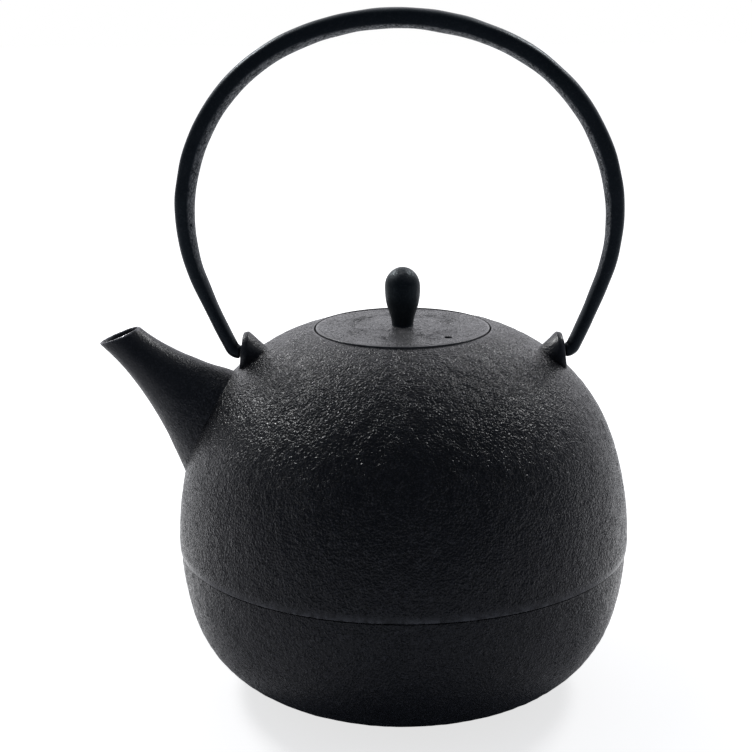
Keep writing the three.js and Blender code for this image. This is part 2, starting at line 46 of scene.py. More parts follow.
# Sizes of the casting
BODY_RADIUS = 80
WALL = 2.8
FLOOR = 3.2
BOWL_ARCS = ((50, 24.9), (38.5, 47.2), (81.6, 17.4))
BELT_STEP = 0.6
BELT_LIP_ROUND = 0.8
BELT_NOTCH = 0.45
FLANK_START = 88.9
SHELL_ARCS = ((110.8, 20), (60.7, 52.7))
CROWN_RADIUS = 138
MOUTH_RADIUS = 28
REBATE_RADIUS = 30.85
REBATE_DEPTH = 3.1
LEDGE_THICKNESS = 3.2
COLLAR_WIDTH = 7.5
RIM_ROUND = 0.4
OUTLINE_SPACING, SKIN_SPACING, HOLLOW_SPACING = 0.4, 1.35, 4
BODY_COLUMNS = 400

# Sizes of the spout, ears and bail
LIP_TOP = (-92.2, 130.9)
LIP_LENGTH, LIP_TILT, LIP_WIDTH, LIP_WALL = 15.3, 21.9, 12.4, 1.1
SPOUT_WALL, SPOUT_SILL, SPOUT_SKIN_RUN, SPOUT_BORE_RUN = 2.4, 7, 8, 12
SPOUT_ROOT_TOP, SPOUT_ROOT_BOTTOM, SPOUT_ROOT_WIDTH = 114.3, 78.4, 30
SPOUT_TOP_SLOPES = (42, 19.5)
SPOUT_UNDER_SLOPES = (41, 69)
PIN_HEIGHT = 121.9
EAR_FACE_REACH, EAR_FACE_RADIUS, EAR_FACE_LEAN = 56.6, 7, 6.7
EAR_EDGE_ROUND, EAR_LENGTH, EAR_TAIL_RADIUS, EAR_TAIL_DROP = 1, 13, 2.5, 5.2
EAR_UNLIKENESS, EAR_RIGHT_DROP, EAR_RIGHT_GROWTH = 0.7, 1.25, 0.4
PIN_RADIUS, PIN_GAP, PIN_TIP_REACH, PIN_END_GAP = 2.1, 0.3, 51.887, 0.7
BAIL_END_REACH, BAIL_CROTCH_RADIUS, BAIL_LEG_ANGLE = 57.287, 0.4, 64
BAIL_ARCS = ((250, 5.9), (64.6, 84.6))
BAIL_LEG_THICKNESS, BAIL_LEG_DEPTH = 4.9, 6.4
BAIL_CROWN_THICKNESS, BAIL_CROWN_DEPTH, BAIL_SWELL_SHARE = 7, 10, 0.65
BAIL_INNER_FACE_SHARE, BAIL_ROUNDNESS, BAIL_CROWN_SHIFT = 0.27, 0.66, 1.8
BAIL_LEG_ROUNDNESS, BAIL_LEG_INNER_SHARE = 0.86, 0.14
BAIL_LEFT_TWIST = 9
BAIL_END_DOME, BAIL_END_SHARE = 0.2, 0.93

# Sizes of the lid and knob
LID_RADIUS, LID_PLATE, LID_RISE = 30.4, 2.6, 0.55
LID_SEAT_GAP, LID_WRINKLE_RADIUS, LID_WRINKLE_WIDTH = 0.3, 18.5, 4.2
LID_EDGE_ROUND, RIM_FALL, RIM_TILT = 0.2, 0.13, 0.38
VENT_RADIUS, VENT_FROM_AXIS, VENT_ANGLE = 1.4, 23.2, -49
KNOB_HEIGHT, KNOB_RADIUS, KNOB_HEAD_RISE = 20.6, 6.2, 7.1
KNOB_NECK_RADIUS, KNOB_FOOT_FLARE, KNOB_FOOT_HEIGHT = 3.75, 0.12, 0.5
KNOB_NECK_SWELL = 0.38
TANG_RADIUS, TANG_GAP, STACK_GAP = 2.2, 0.3, 0.1
WASHER_THICKNESS, PEEN_RADIUS, PEEN_HEIGHT = 1.2, 3.9, 1.6

# The camera, fitted to the photograph
CAMERA_PLACE = (-0.00941, -0.5638, 0.2588)
CAMERA_DOWN, CAMERA_TURN = 14.54, -0.373
CAMERA_LENS, CAMERA_SENSOR = 79.08, 36


# Curves

def arc(start, radius, first, last, spacing):
    """Points after start along an arc that turns left from heading first to heading last:
    x = x0 + R (sin a - sin first), z = z0 + R (cos first - cos a)."""
    first, last = math.radians(first), math.radians(last)
    count = max(3, math.ceil(radius * abs(last - first) / spacing))
    a = np.linspace(first, last, count + 1)[1:]
    x = start[0] + radius * (np.sin(a) - math.sin(first))
    z = start[1] + radius * (math.cos(first) - np.cos(a))
    return np.stack([x, z], axis=1)


def arc_chain(start, heading, arcs, spacing):
    """Tangent arcs of (radius, sweep) one after another, each starting where the last ended."""
    runs = []
    for radius, sweep in arcs:
        runs.append(arc(start, radius, heading, heading + sweep, spacing))
        start = runs[-1][-1]
        heading += sweep
    return np.concatenate(runs)


def unit(vectors):
    """Each vector divided by its own length."""
    return vectors / np.maximum(np.linalg.norm(vectors, axis=-1, keepdims=True), 1e-9)


def smooth_step(low, high, value):
    """0 below low, 1 above high, and 3t^2 - 2t^3 between them."""
    t = np.clip((value - low) / (high - low), 0, 1)
    return t * t * (3 - 2 * t)


def crest(value, width):
    """1 where the value is 0, falling off on both sides as exp(-(value / width)^2)."""
    return np.exp(-(value / width) ** 2)


def bezier(p0, p1, p2, p3, t):
    """The cubic with end points p0, p3 and handles p1, p2, at each t."""
    t = t[:, None]
    return (1 - t)**3 * p0 + 3 * (1 - t)**2 * t * p1 + 3 * (1 - t) * t**2 * p2 + t**3 * p3


def relief(points, shortest, longest, seed, waves=36):
    """Smooth random relief with a spread of about 1: a sum of plane waves cos(k . p + phase)
    whose directions, lengths from shortest to longest and phases are random but seeded."""
    chance = np.random.default_rng(seed)
    heading = unit(chance.normal(size=(waves, 3)))
    length = chance.uniform(shortest, longest, waves)
    phase = chance.uniform(0, 2 * math.pi, waves)
    total = np.zeros(points.shape[:-1])
    for direction, wave, shift in zip(heading, length, phase):
        total += np.cos(points @ direction * (2 * math.pi / wave) + shift)
    return total / math.sqrt(waves / 2)


# Meshes

def around(profile, columns):
    """A surface of revolution: (r cos a, r sin a, z) for each profile point and angle a."""
    a = np.arange(columns) * 2 * math.pi / columns
    r, z = profile[:, 0, None], profile[:, 1, None]
    return np.stack([r * np.cos(a), r * np.sin(a), z + 0 * a], axis=2)


def grid_faces(rows, columns, closed_rows):
    """Quads of a grid whose columns join up, and whose rows join up too where closed_rows."""
    number = np.arange(rows * columns).reshape(rows, columns)
    if closed_rows:
        number = np.concatenate([number, number[:1]])
    low, high = number[:-1], number[1:]
    turn = lambda part: np.roll(part, -1, axis=1)
    return np.stack([low, turn(low), turn(high), high], axis=2).reshape(-1, 4)


def new_object(name, data):
    """An object of the scene that holds the data."""
    made = bpy.data.objects.new(name, data)
    bpy.context.scene.collection.objects.link(made)
    return made


def smooth_to_crease(mesh, crease):
    """Smooth shading, with edges sharper than crease degrees left sharp."""
    mesh.shade_smooth()
    mesh.set_sharp_from_angle(angle=math.radians(crease))


def mesh_piece(name, grids, crease=32, marks=None):
    """One mesh of closed skins. Each grid is (points in mm, closed_rows). Poles are merged,
    and edges sharper than crease degrees stay sharp under smooth shading. marks holds named
    numbers for the grids' points in turn, kept as attributes."""
    corners, faces, count = [], [], 0
    for points, closed_rows in grids:
        faces.append(grid_faces(points.shape[0], points.shape[1], closed_rows) + count)
        corners.append(points.reshape(-1, 3) * MM)
        count += points.shape[0] * points.shape[1]
    mesh = bpy.data.meshes.new(name)
    mesh.from_pydata(np.concatenate(corners).tolist(), [], np.concatenate(faces).tolist())
    for label, values in (marks or {}).items():
        layer = mesh.attributes.new(label, "FLOAT", "POINT")
        layer.data.foreach_set("value", values.astype(np.float32))
    work = bmesh.new()
    work.from_mesh(mesh)
    bmesh.ops.remove_doubles(work, verts=work.verts, dist=1e-6)
    work.to_mesh(mesh)
    work.free()
    smooth_to_crease(mesh, crease)
    return new_object(name, mesh)


def cut_away(piece, cutter, crease):
    """Takes the cutter's space out of the piece, and deletes the cutter."""
    change = piece.modifiers.new("cut", "BOOLEAN")
    change.operation = "DIFFERENCE"
    change.solver = "EXACT"
    change.object = cutter
    bpy.context.view_layer.update()
    finished = piece.evaluated_get(bpy.context.evaluated_depsgraph_get())
    mesh = bpy.data.meshes.new_from_object(finished)
    piece.modifiers.clear()
    piece.data = mesh
    smooth_to_crease(mesh, crease)
    bpy.data.objects.remove(cutter)


def vertex_places(piece):
    """The piece's vertices as an array of points in millimetres."""
    flat = np.empty(len(piece.data.vertices) * 3)
    piece.data.vertices.foreach_get("co", flat)
    return flat.reshape(-1, 3) / MM


def paint(piece, name, values):
    """Stores one number per vertex, which a material reads as an attribute."""
    layer = piece.data.attributes.new(name, "FLOAT", "POINT")
    layer.data.foreach_set("value", np.clip(values, 0, 1).astype(np.float32))


def surface_normals(points):
    """Unit normals of a grid, the cross product of its steps along columns and rows."""
    across = np.roll(points, -1, axis=1) - np.roll(points, 1, axis=1)
    along = np.gradient(points, axis=0)
    return unit(np.cross(across, along))


def push_out(points, lift):
    """Moves a grid's points along its own normals by lift."""
    return points + surface_normals(points) * lift[..., None]


def on_pin_line(points, side):
    """Turns what was made round the z axis onto the pins' line, its z reaching out to side."""
    return np.stack([
        side * points[..., 2], points[..., 0], PIN_HEIGHT + side * points[..., 1]], axis=2)


# The casting's outline, seen as half a section

flank_way = math.radians(FLANK_START)
shell_belt_radius = BODY_RADIUS - SHELL_ARCS[0][0] * (1 - math.sin(flank_way))
bowl_run = arc_chain((0, 0), 0, BOWL_ARCS, 1)[-1]
base_radius = shell_belt_radius - BELT_STEP - bowl_run[0]
belt_height = bowl_run[1]


def crown_arc(start, radius, stop_radius, spacing):
    """The crown from where the shoulder ends, inwards to the circle of radius stop_radius."""
    heading = math.radians(FLANK_START + SHELL_ARCS[0][1] + SHELL_ARCS[1][1])
    sine = math.sin(heading) + (stop_radius - start[0]) / radius
    return arc(start, radius, math.degrees(heading), 180 - math.degrees(math.asin(sine)), spacing)


def outer_outline(spacing):
    """From the edge of the base up over the belt, the shell and the crown to the rim."""
    base = np.array([base_radius, 0])
    bowl = arc_chain(base, 0, BOWL_ARCS, spacing)
    notch = np.array([shell_belt_radius - BELT_STEP - BELT_NOTCH, belt_height + 0.05])
    lip_start = np.array([shell_belt_radius - BELT_LIP_ROUND, belt_height])
    lip = arc(lip_start, BELT_LIP_ROUND, 0, FLANK_START, 0.18)
    shell = arc_chain(lip[-1], FLANK_START, SHELL_ARCS, spacing)
    crown = crown_arc(shell[-1], CROWN_RADIUS, REBATE_RADIUS + RIM_ROUND, spacing)
    return np.concatenate([base[None], bowl[:-1], [bowl[-1] - [0, 0.3], notch], lip, shell, crown])


outline = outer_outline(OUTLINE_SPACING)
rim_height = outline[-1, 1] + 0.06
ledge_height = rim_height - REBATE_DEPTH
lid_top = rim_height + LID_RISE


def over_skin(points):
    """Height above the casting's outer skin, with the skin's normal there: the nearest point
    of the outline to (r, z), and the distance along the outline's own normal."""
    r = np.hypot(points[..., 0], points[..., 1])
    flat = np.stack([r, points[..., 2]], axis=-1).reshape(-1, 2)
    tangent = unit(np.gradient(outline, axis=0))
    normal = np.stack([tangent[:, 1], -tangent[:, 0]], axis=1)
    gap = ((flat[:, None, :] - outline[None]) ** 2).sum(axis=2)
    nearest = gap.argmin(axis=1)
    height = ((flat - outline[nearest]) * normal[nearest]).sum(axis=1).reshape(r.shape)
    slope = normal[nearest].reshape(r.shape + (2,))
    r = np.maximum(r, 1e-9)
    lean = np.stack([
        slope[..., 0] * points[..., 0] / r,
        slope[..., 0] * points[..., 1] / r,
        slope[..., 1],
    ], axis=-1)
    return height, lean


# Body

def casting_shell():
    """A closed revolve of the outer skin, the lid's seat, the collar and the hollow. The outer
    skin carries the low waves and creases of the sand mould: relief along its normal, faded
    out at the base, at the belt's lip and at the rim. The rim isn't quite level: it lies a
    little below the lid's edge in front and a little above it at the back."""
    outer = outer_outline(SKIN_SPACING)
    rim = outer[-1]
    under = ledge_height - LEDGE_THICKNESS
    seat = np.array([
        [REBATE_RADIUS + 0.2, rim[1] + 0.02],
        [REBATE_RADIUS + 0.06, rim[1] - 0.12],
        [REBATE_RADIUS, rim[1] - 0.35],
        [REBATE_RADIUS, ledge_height],
        [MOUTH_RADIUS + 0.3, ledge_height],
        [MOUTH_RADIUS, ledge_height - 0.3],
        [MOUTH_RADIUS, under + 0.5],
        [MOUTH_RADIUS + 0.5, under],
        [MOUTH_RADIUS + COLLAR_WIDTH - 1, under],
        [MOUTH_RADIUS + COLLAR_WIDTH, under + 1],
    ])
    shell_start = np.array([
        shell_belt_radius - WALL * math.sin(flank_way),
        belt_height + BELT_LIP_ROUND + WALL * math.cos(flank_way),
    ])
    inner_shell_arcs = [(radius - WALL, sweep) for radius, sweep in SHELL_ARCS]
    inner_shell = arc_chain(shell_start, FLANK_START, inner_shell_arcs, HOLLOW_SPACING)
    inner_crown = crown_arc(
        inner_shell[-1], CROWN_RADIUS - WALL, MOUTH_RADIUS + COLLAR_WIDTH + 0.5, HOLLOW_SPACING)
    inner_bowl_arcs = [(radius - FLOOR, sweep) for radius, sweep in BOWL_ARCS]
    floor_edge = np.array([base_radius, FLOOR])
    inner_bowl = arc_chain(floor_edge, 0, inner_bowl_arcs, HOLLOW_SPACING)
    hollow = np.concatenate([
        [floor_edge], inner_bowl, [shell_start], inner_shell, inner_crown])[::-1]
    base = np.stack([np.linspace(0, base_radius, 8)[:-1], np.zeros(7)], axis=1)
    floor = np.stack([np.linspace(base_radius, 0, 6)[1:], np.full(5, FLOOR)], axis=1)
    profile = np.concatenate([base, outer, seat, hollow, floor])
    points = around(profile, BODY_COLUMNS)

    tangent = unit(np.gradient(profile, axis=0))
    rows = np.arange(len(profile))
    is_outer = (rows >= len(base)) & (rows < len(base) + len(outer))
    height = profile[:, 1]
    fade = is_outer * smooth_step(1, 9, height)
    fade = fade * smooth_step(0.6, 3.2, np.abs(height - belt_height - 0.9))
    fade = fade * smooth_step(0.2, 5, profile[:, 0] - REBATE_RADIUS - RIM_ROUND)
    stretched = points * [1, 1, 1.5]
    swell = relief(points, 16, 34, seed=3) * 0.05
    crease = (1 - np.abs(relief(stretched, 5, 9, seed=5, waves=48))) * 0.055
    pocks = relief(points, 3.2, 5, seed=8, waves=48) * 0.03
    lift = (swell + crease + pocks) * fade[:, None]
    sideways = tangent[:, 1, None] * lift
    angle = np.arctan2(points[..., 1], points[..., 0])
    points[..., 0] += sideways * np.cos(angle)
    points[..., 1] += sideways * np.sin(angle)
    points[..., 2] -= tangent[:, 0, None] * lift
    near_rim = smooth_step(REBATE_RADIUS + 2.4, REBATE_RADIUS + 0.3, profile[:, 0])
    near_rim = near_rim * smooth_step(ledge_height + 0.5, ledge_height + 2, height)
    points[..., 2] -= near_rim[:, None] * (RIM_FALL - RIM_TILT * np.sin(angle))
    return mesh_piece("body_casting", [(points, False)], crease=40)


# Spout

def spout_edges(t):
    """The upper and lower edge of the spout at each t from 0 at the lip to 1 at the body, and
    held there after that, each with the way in which it arrives. Both are cubics whose handles
    are a third of the chord."""
    tilt = math.radians(LIP_TILT)
    lip_bottom = np.array(LIP_TOP) - LIP_LENGTH * np.array([math.cos(tilt), math.sin(tilt)])
    radius_at = lambda z: np.interp(z, outline[:, 1], outline[:, 0])
    edges = []
    for start, slopes, root in (
        (np.array(LIP_TOP), SPOUT_TOP_SLOPES, SPOUT_ROOT_TOP),
        (lip_bottom, SPOUT_UNDER_SLOPES, SPOUT_ROOT_BOTTOM),
    ):
        end = np.array([-radius_at(root), root])
        handle = np.linalg.norm(end - start) / 3
        leave, arrive = [
            np.array([math.cos(math.radians(s)), -math.sin(math.radians(s))]) for s in slopes]
        edge = bezier(start, start + leave * handle, end - arrive * handle, end, np.minimum(t, 1))
        edges.append((edge, arrive))
    return edges


def spout_rings(t, wall, sill, run, level, columns=112):
    """Oval rings between the two edges: middle + half cos a up the oval, width sin a across.
    wall draws every ring in on all sides and sill lifts its foot. Past t = 1 the rings run on
    by run, level or along the edges."""
    (top, top_way), (under, under_way) = spout_edges(t)
    past = np.maximum(t - 1, 0)[:, None] * run
    top = top + past * ([1, 0] if level else top_way)
    under = under + past * ([1, 0] if level else under_way)
    along = unit(top - under)
    head = top - along * wall[:, None]
    foot = under + along * (wall + sill)[:, None]
    middle, half = (head + foot) / 2, (head - foot) / 2
    inside = np.clip(t, 0, 1)
    width = LIP_WIDTH + (SPOUT_ROOT_WIDTH - LIP_WIDTH) * inside ** 1.3
    a = np.arange(columns) * 2 * math.pi / columns
    x = middle[:, :1] + half[:, :1] * np.cos(a)
    z = middle[:, 1:] + half[:, 1:] * np.cos(a)
    y = -(width / 2 - wall)[:, None] * np.sin(a)
    return np.stack([x, y, z], axis=2)


def bore_wall(t):
    """The spout's wall, thin at the lip and full from a third of the way on."""
    return LIP_WALL + (SPOUT_WALL - LIP_WALL) * np.minimum(1, 3 * t)


def at_rows(points, rows):
    """Points of a grid at a fractional row in each column, rows being (new rows, columns)."""
    low = np.clip(np.floor(rows).astype(int), 0, len(points) - 2)
    share = (rows - low)[..., None]
    column = np.arange(points.shape[1])[None]
    return points[low, column] * (1 - share) + points[low + 1, column] * share


def last_row_above(height, level):
    """In each column, the fractional row where the height last sinks through level."""
    rows = len(height)
    above = height > level
    last = rows - 1 - above[::-1].argmax(axis=0)
    last = np.clip(last, 0, rows - 2)
    column = np.arange(height.shape[1])
    before, after = height[last, column], height[last + 1, column]
    return last + np.clip((before - level) / np.maximum(before - after, 1e-9), 0, 1)


def seat_on_skin(points, keep_rows, rise, spread, bury):
    """Ends a grid on the casting with a small fillet. Each column keeps its run down to rise
    above the skin, then a parabola whose handle is the crossing leads out along the skin by
    spread, and a last row lies bury below the skin."""
    height, _ = over_skin(points)
    start_row = last_row_above(height, rise)
    cross_row = last_row_above(height, 0)
    share = np.linspace(0, 1, keep_rows)[:, None]
    kept = at_rows(points, share * start_row[None])
    start = at_rows(points, start_row[None])[0]
    cross = at_rows(points, cross_row[None])[0]
    facing = at_rows(surface_normals(points), cross_row[None])[0]
    _, up = over_skin(cross)
    away = unit(facing - (facing * up).sum(axis=1)[:, None] * up)
    end = cross + away * spread
    gap, up = over_skin(end)
    end = end - up * (gap + 0.1)[:, None]
    s = np.linspace(0, 1, 9)[1:, None, None]
    fillet = (1 - s)**2 * start + 2 * (1 - s) * s * cross + s**2 * end
    hidden = end - up * bury
    return np.concatenate([kept, fillet, hidden[None]])


def spout():
    """The outer skin from the lip to a fillet on the body, the bore back from the hollow, and a
    rounded lip between them, joined into one closed tube."""
    lip_end = 0.02
    t = np.concatenate([np.linspace(lip_end, 1, 110), np.linspace(1, 2, 14)[1:]])
    none = np.zeros(len(t))
    outer = spout_rings(t, none, none, SPOUT_SKIN_RUN, level=False)
    body_side = smooth_step(0.1, 0.75, t)[:, None]
    lift = (relief(outer, 5, 11, seed=21) + relief(outer, 14, 30, seed=22)) * 0.05
    outer = push_out(outer, lift * body_side)
    outer = seat_on_skin(outer, keep_rows=120, rise=0.2, spread=0.22, bury=1.1)
    t = np.concatenate([np.linspace(2, 1, 12)[:-1], np.linspace(1, lip_end, 60)])
    sill = SPOUT_SILL * np.minimum(t, 1) ** 2
    bore = spout_rings(t, bore_wall(np.minimum(t, 1)), sill, SPOUT_BORE_RUN, level=True)
    height, _ = over_skin(bore)
    start_row = len(bore) - 1 - last_row_above(height[::-1], -WALL - 0.1)
    share = np.linspace(0, 1, 60)[:, None]
    bore = at_rows(bore, start_row[None] * (1 - share) + (len(bore) - 1) * share)
    a = np.linspace(math.pi, 0, 11)[1:-1]
    wall = LIP_WALL / 2 * (1 - np.cos(a))
    lip = spout_rings(lip_end * (1 - np.sin(a)), wall, 0 * a, 0, level=False)
    return mesh_piece("spout", [(np.concatenate([outer, bore, lip]), True)], crease=50)


def spout_hole():
    """A closed plug a little wider than the bore, for the hole through the body's wall."""
    start, spare = 0.72, 0.45
    t = np.linspace(start, 2, 20)
    inside = np.minimum(t, 1)
    wall = bore_wall(inside) - spare
    rings = spout_rings(t, wall, SPOUT_SILL * inside ** 2, SPOUT_BORE_RUN, level=True, columns=64)
    first = np.broadcast_to(rings[0].mean(axis=0), rings[0].shape)
    last = np.broadcast_to(rings[-1].mean(axis=0), rings[-1].shape)
    return mesh_piece("spout_hole", [(np.concatenate([first[None], rings, last[None]]), False)])


# Ears

def ear(name, side):
    """A horn with a round leaning face. In each column the path runs from the bottom of the pin
    hole out to the face, over the rounded edge and in along a cone to its tail, and it ends in
    a fillet on the body. Rings are radius r about the pin, leaning with the face. As in any
    hand-made mould, the left horn is a little longer, and the right one's face is a little
    wider and lies lower."""
    hole = PIN_RADIUS + PIN_GAP
    depth = EAR_FACE_REACH - (PIN_TIP_REACH - PIN_END_GAP)
    a = np.linspace(0, math.pi / 2, 8)[1:]
    full = EAR_FACE_RADIUS + EAR_RIGHT_GROWTH * (side > 0)
    face = full - EAR_EDGE_ROUND
    length = EAR_LENGTH - side * EAR_UNLIKENESS
    q = np.linspace(0, 1, 40)[1:] ** 0.9
    radius = np.concatenate([
        [0, hole * 0.6, hole], np.full(6, hole),
        [hole + 0.25], np.linspace(hole + 0.25, face, 10)[1:],
        face + EAR_EDGE_ROUND * np.sin(a),
        full - (full - EAR_TAIL_RADIUS) * q,
    ])
    into = np.concatenate([
        np.full(3, depth), np.linspace(depth, 0.25, 7)[1:], [0], np.zeros(9),
        EAR_EDGE_ROUND * (1 - np.cos(a)) + np.linspace(0, 1, 7) ** 3,
        2 * EAR_EDGE_ROUND + (length - 2 * EAR_EDGE_ROUND) * q,
    ])
    count = len(radius)
    tail = np.concatenate([np.zeros(count - len(q)), q])
    straight = np.concatenate([np.zeros(9), np.ones(count - 9)])
    lean = np.tan(np.radians(EAR_FACE_LEAN)) * (1 - tail) * straight
    outward = np.concatenate([np.zeros(10), np.linspace(0, 1, 9), np.ones(count - 19)])
    drop = EAR_RIGHT_DROP * (side > 0) * outward * (1 - tail)
    turn = side * np.arange(72) * 2 * math.pi / 72
    up = radius[:, None] * np.cos(turn) - drop[:, None]
    x = side * (EAR_FACE_REACH - into[:, None] - up * lean[:, None])
    y = radius[:, None] * np.sin(turn)
    z = PIN_HEIGHT - EAR_TAIL_DROP * tail[:, None] + up
    points = np.stack([x, y, z], axis=2)
    points = push_out(points, relief(points, 4, 8, seed=31 + side) * 0.05 * straight[:, None])
    points = seat_on_skin(points, keep_rows=84, rise=0.06, spread=0.08, bury=1.1)
    centre = np.broadcast_to(points[-1].mean(axis=0), points[-1].shape)
    points = np.concatenate([points, centre[None]])
    return mesh_piece(name, [(points, False)], crease=55)


def pin_drill(side):
    """What a pin hole takes from the casting's skin behind an ear, a hair wider than the hole."""
    spare = 0.05
    r, near = PIN_RADIUS + PIN_GAP + spare, PIN_TIP_REACH - PIN_END_GAP - spare
    rod = around(np.array([[0, near], [r, near], [r, EAR_FACE_REACH], [0, EAR_FACE_REACH]]), 48)
    return mesh_piece("pin_drill", [(on_pin_line(rod, side), False)])


# Lid and knob

def lid_height(radius):
    """The lid's low dome, a sphere that rises LID_RISE from its edge."""
    dome = (LID_RADIUS**2 + LID_RISE**2) / (2 * LID_RISE)
    return lid_top - dome + np.sqrt(dome**2 - radius**2)


def lid():
    """A closed revolve of the plate, its rounded edge and the locating ring. The top carries
    wavy wrinkles that run round the knob, strongest at LID_WRINKLE_RADIUS."""
    edge = LID_RADIUS - LID_EDGE_ROUND
    hole = TANG_RADIUS + TANG_GAP
    seat = ledge_height + LID_SEAT_GAP
    under = lid_top - LID_PLATE
    a = np.linspace(0, math.pi / 2, 5)
    side = np.stack([
        edge + LID_EDGE_ROUND * np.cos(a),
        lid_height(edge) - LID_EDGE_ROUND * (1 - np.sin(a)),
    ], axis=1)
    below = np.array([
        [hole, under], [15, under], [24.4, under], [25.4, under - 1], [25.4, seat - 4.6],
        [25.8, seat - 5], [26.8, seat - 5], [27.4, seat - 4.2], [27.4, seat],
        [LID_RADIUS - 0.2, seat], [LID_RADIUS, seat + 0.2],
    ])
    run = np.linspace(edge, hole, 62)[1:]
    top = np.stack([run, lid_height(run)], axis=1)
    profile = np.concatenate([below, side, top])
    points = around(profile, 288)
    radius = profile[:, 0]
    on_top = np.arange(len(profile)) >= len(below) + len(side)
    angle = np.arctan2(points[..., 1], points[..., 0])
    ring = crest(radius - LID_WRINKLE_RADIUS, LID_WRINKLE_WIDTH) + 0.18
    fade = on_top * smooth_step(0.2, 2, edge - radius) * smooth_step(5, 7, radius) * ring
    polar = np.stack([
        radius[:, None] * 2.1 + 0 * angle,
        12.6 * np.cos(angle),
        12.6 * np.sin(angle),
    ], axis=2)
    wrinkle = 1 - np.abs(relief(polar, 5, 9, seed=12, waves=40))
    patch = relief(points, 9, 16, seed=13) * 0.35 + 0.75
    points[..., 2] += fade[:, None] * (wrinkle * np.clip(patch, 0.1, 1.3) * 0.25 - 0.08)
    piece = mesh_piece("lid_plate", [(points, True)], crease=42)
    vent_way = math.radians(VENT_ANGLE)
    low, high = lid_top - 6, lid_top + 3
    drill = around(np.array([[0, low], [VENT_RADIUS, low], [VENT_RADIUS, high], [0, high]]), 40)
    drill += [VENT_FROM_AXIS * math.cos(vent_way), VENT_FROM_AXIS * math.sin(vent_way), 0]
    cut_away(piece, mesh_piece("vent_drill", [(drill, False)]), crease=42)
    return piece


def knob():
    """A revolve from the peened end up the tang, over a fillet at the foot, up a cubic neck and
    round an elliptical head."""
    foot = lid_top + STACK_GAP
    head = foot + KNOB_HEIGHT - KNOB_HEAD_RISE
    neck = foot + KNOB_FOOT_HEIGHT
    peen_top = lid_top - LID_PLATE - 2 * STACK_GAP - WASHER_THICKNESS
    a = np.linspace(-math.pi / 2, 0, 8)
    peen = np.stack([PEEN_RADIUS * np.cos(a), peen_top + PEEN_HEIGHT * np.sin(a)], axis=1)
    tang = np.array([[TANG_RADIUS, peen_top], [TANG_RADIUS, foot - 0.02]])
    t = np.linspace(0, 1, 10)
    fillet = np.stack([
        KNOB_NECK_RADIUS + KNOB_FOOT_FLARE * (1 - t) ** 2.4, foot + KNOB_FOOT_HEIGHT * t], axis=1)
    rise = head - neck
    flank = bezier(
        np.array([KNOB_NECK_RADIUS, neck]),
        np.array([KNOB_NECK_RADIUS + KNOB_NECK_SWELL, neck + rise * 0.33]),
        np.array([KNOB_RADIUS, neck + rise * 0.5]),
        np.array([KNOB_RADIUS, head]),
        np.linspace(0, 1, 24)[1:])
    a = np.linspace(0, math.pi / 2, 22)[1:]
    cap = np.stack([KNOB_RADIUS * np.cos(a), head + KNOB_HEAD_RISE * np.sin(a)], axis=1)
    profile = np.concatenate([peen, tang, fillet, flank, cap])
    profile[0, 0] = profile[-1, 0] = 0
    points = around(profile, 96)
    away = unit(points * [1, 1, 0])
    high = smooth_step(foot + 1, foot + 5, profile[:, 1]) * smooth_step(0.5, 3, profile[:, 0])
    points += away * (relief(points, 6, 12, seed=41) * 0.045 * high[:, None])[..., None]
    return mesh_piece("knob", [(points, False)], crease=45)


# Bail

def bail_line():
    """Places on the bar's middle line from the end face by the pin up to the top of the arch:
    a bend round the inside corner, then tangent arcs, the last of which closes the arch on its
    own middle. Returns places (x, z) and headings."""
    bend = BAIL_CROTCH_RADIUS + BAIL_LEG_THICKNESS / 2
    turn = np.radians(np.linspace(0, BAIL_LEG_ANGLE, 15))
    heel = np.stack([
        BAIL_END_REACH + bend * np.sin(turn), PIN_HEIGHT + bend * (1 - np.cos(turn))], axis=1)
    places, headings = [heel], [turn]
    start, heading = heel[-1], BAIL_LEG_ANGLE
    for radius, sweep in (*BAIL_ARCS, (None, None)):
        if radius is None:
            radius = start[0] / math.sin(math.radians(heading))
            sweep = 180 - heading
        run = arc(start, radius, heading, heading + sweep, 0.8)
        places.append(run)
        headings.append(np.radians(np.linspace(heading, heading + sweep, len(run) + 1)[1:]))
        start, heading = run[-1], heading + sweep
    return np.concatenate(places), np.concatenate(headings)


def bail_section(power, inner_share, outside=44, inside=14):
    """The bar's section for a thickness and depth of 1: u outwards from the arch, v across it.
    Outside and sides are a superellipse, and the face inside the arch is a low parabola between
    its edges. Also returns which points lie on that face."""
    edge_angle = math.pi - math.acos((1 - 2 * inner_share) ** (1 / power))
    a = np.linspace(-edge_angle, edge_angle, outside)
    u = np.sign(np.cos(a)) * np.abs(np.cos(a)) ** power / 2
    v = np.sign(np.sin(a)) * np.abs(np.sin(a)) ** power / 2
    across = np.linspace(1, -1, inside + 2)[1:-1]
    u = np.concatenate([u, u[-1] - inner_share * (1 - across ** 2)])
    v = np.concatenate([v, v[-1] * across])
    return u, v, np.arange(outside + inside) >= outside


